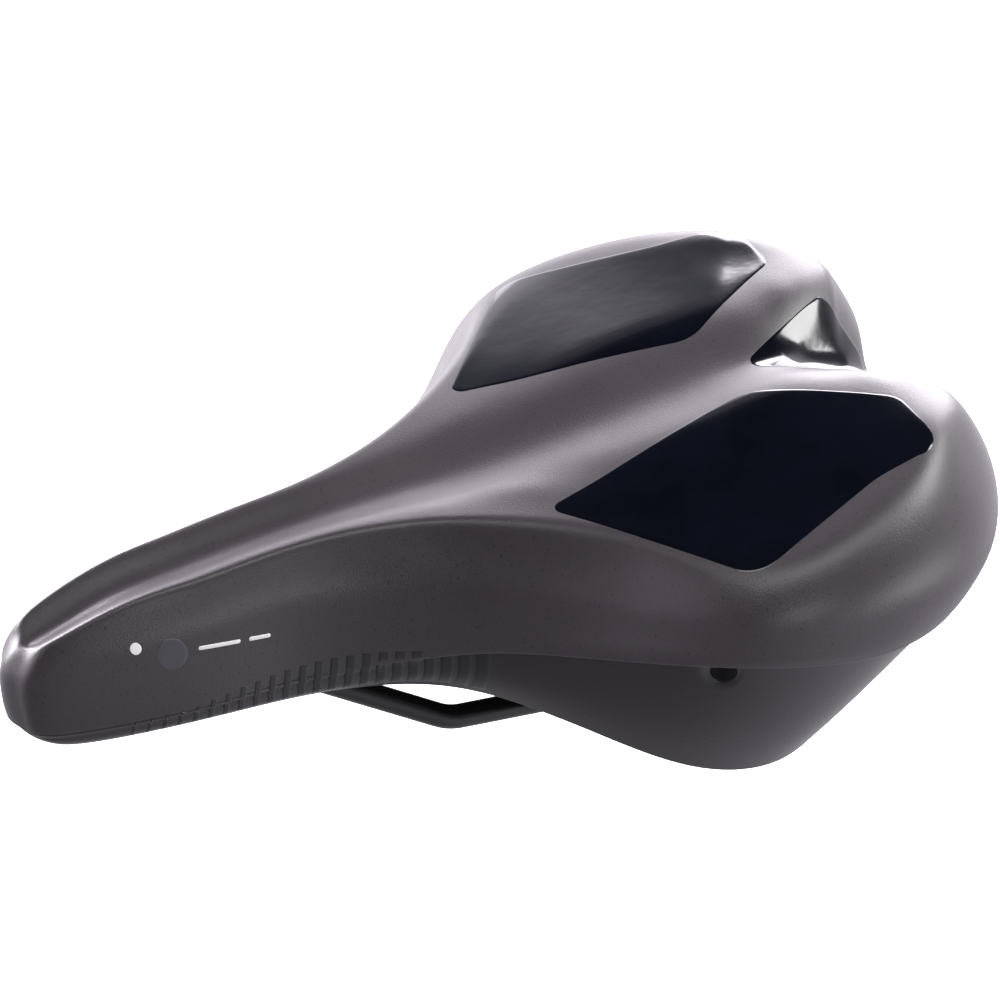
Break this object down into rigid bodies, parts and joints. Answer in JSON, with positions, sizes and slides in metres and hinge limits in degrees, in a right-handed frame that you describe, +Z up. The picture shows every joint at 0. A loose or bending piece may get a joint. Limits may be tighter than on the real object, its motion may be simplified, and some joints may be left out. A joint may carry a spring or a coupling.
{
  "type": "bicycle saddle",
  "caption": "Padded trekking saddle with a channelled top, gloss inserts, side skirt, steel rails hinged at the nose and sprung at the rear.",
  "frame": {"origin": "middle of the seatpost clamp zone, midway between the two rails, on the plane of their axes", "axes": "+X towards the nose, +Y to the rider's left, +Z up"},
  "size_m": [0.2741, 0.1956, 0.0952],
  "materials": {
    "cover": "matte grained upholstery skin",
    "gloss_film": "glossy, softly rippled",
    "foam": "open-cell moulded foam",
    "memory_foam": "slow-recovery foam",
    "shell": "moulded, fine texture",
    "skirt": "satin",
    "rail": "gloss black",
    "bridge": "satin black",
    "socket": "glass-filled nylon, matte",
    "clip": "zinc plated",
    "fastener": "zinc plated",
    "bush": "natural nylon",
    "elastomer": "matte rubber",
    "insert": "turned",
    "plug": "matte rubber",
    "cap": "matte"
  },
  "bodies": {
    "rail_frame": {"rail_loop": "rail", "rail_end_caps": "cap", "rear_bridge": "bridge", "bridge_bushes": "bush", "elastomer_left": "elastomer", "elastomer_right": "elastomer"},
    "saddle_body": {"top_cover": "cover", "foam_core": "foam", "memory_pad_left": "memory_foam", "memory_pad_right": "memory_foam", "gloss_panel_left": "gloss_film", "gloss_panel_right": "gloss_film", "rear_panel": "gloss_film", "base_shell": "shell", "side_skirt": "skirt", "side_plugs": "plug", "nose_socket": "socket", "nose_clip": "clip", "nose_clip_screws": "fastener", "bolt_inserts": "insert", "elastomer_caps": "fastener", "suspension_bolts": "fastener", "bolt_washers": "fastener"}
  },
  "joints": [
    {"name": "nose_pivot", "type": "hinge", "parent": "rail_frame", "child": "saddle_body", "pos_m": [0.104, 0, 0.03], "axis": [0, -1, 0], "range_deg": [0, 2.2], "stiffness_Nm_per_rad": 400, "springref_deg": -0.23, "deforming": ["elastomer_left", "elastomer_right"]}
  ]
}
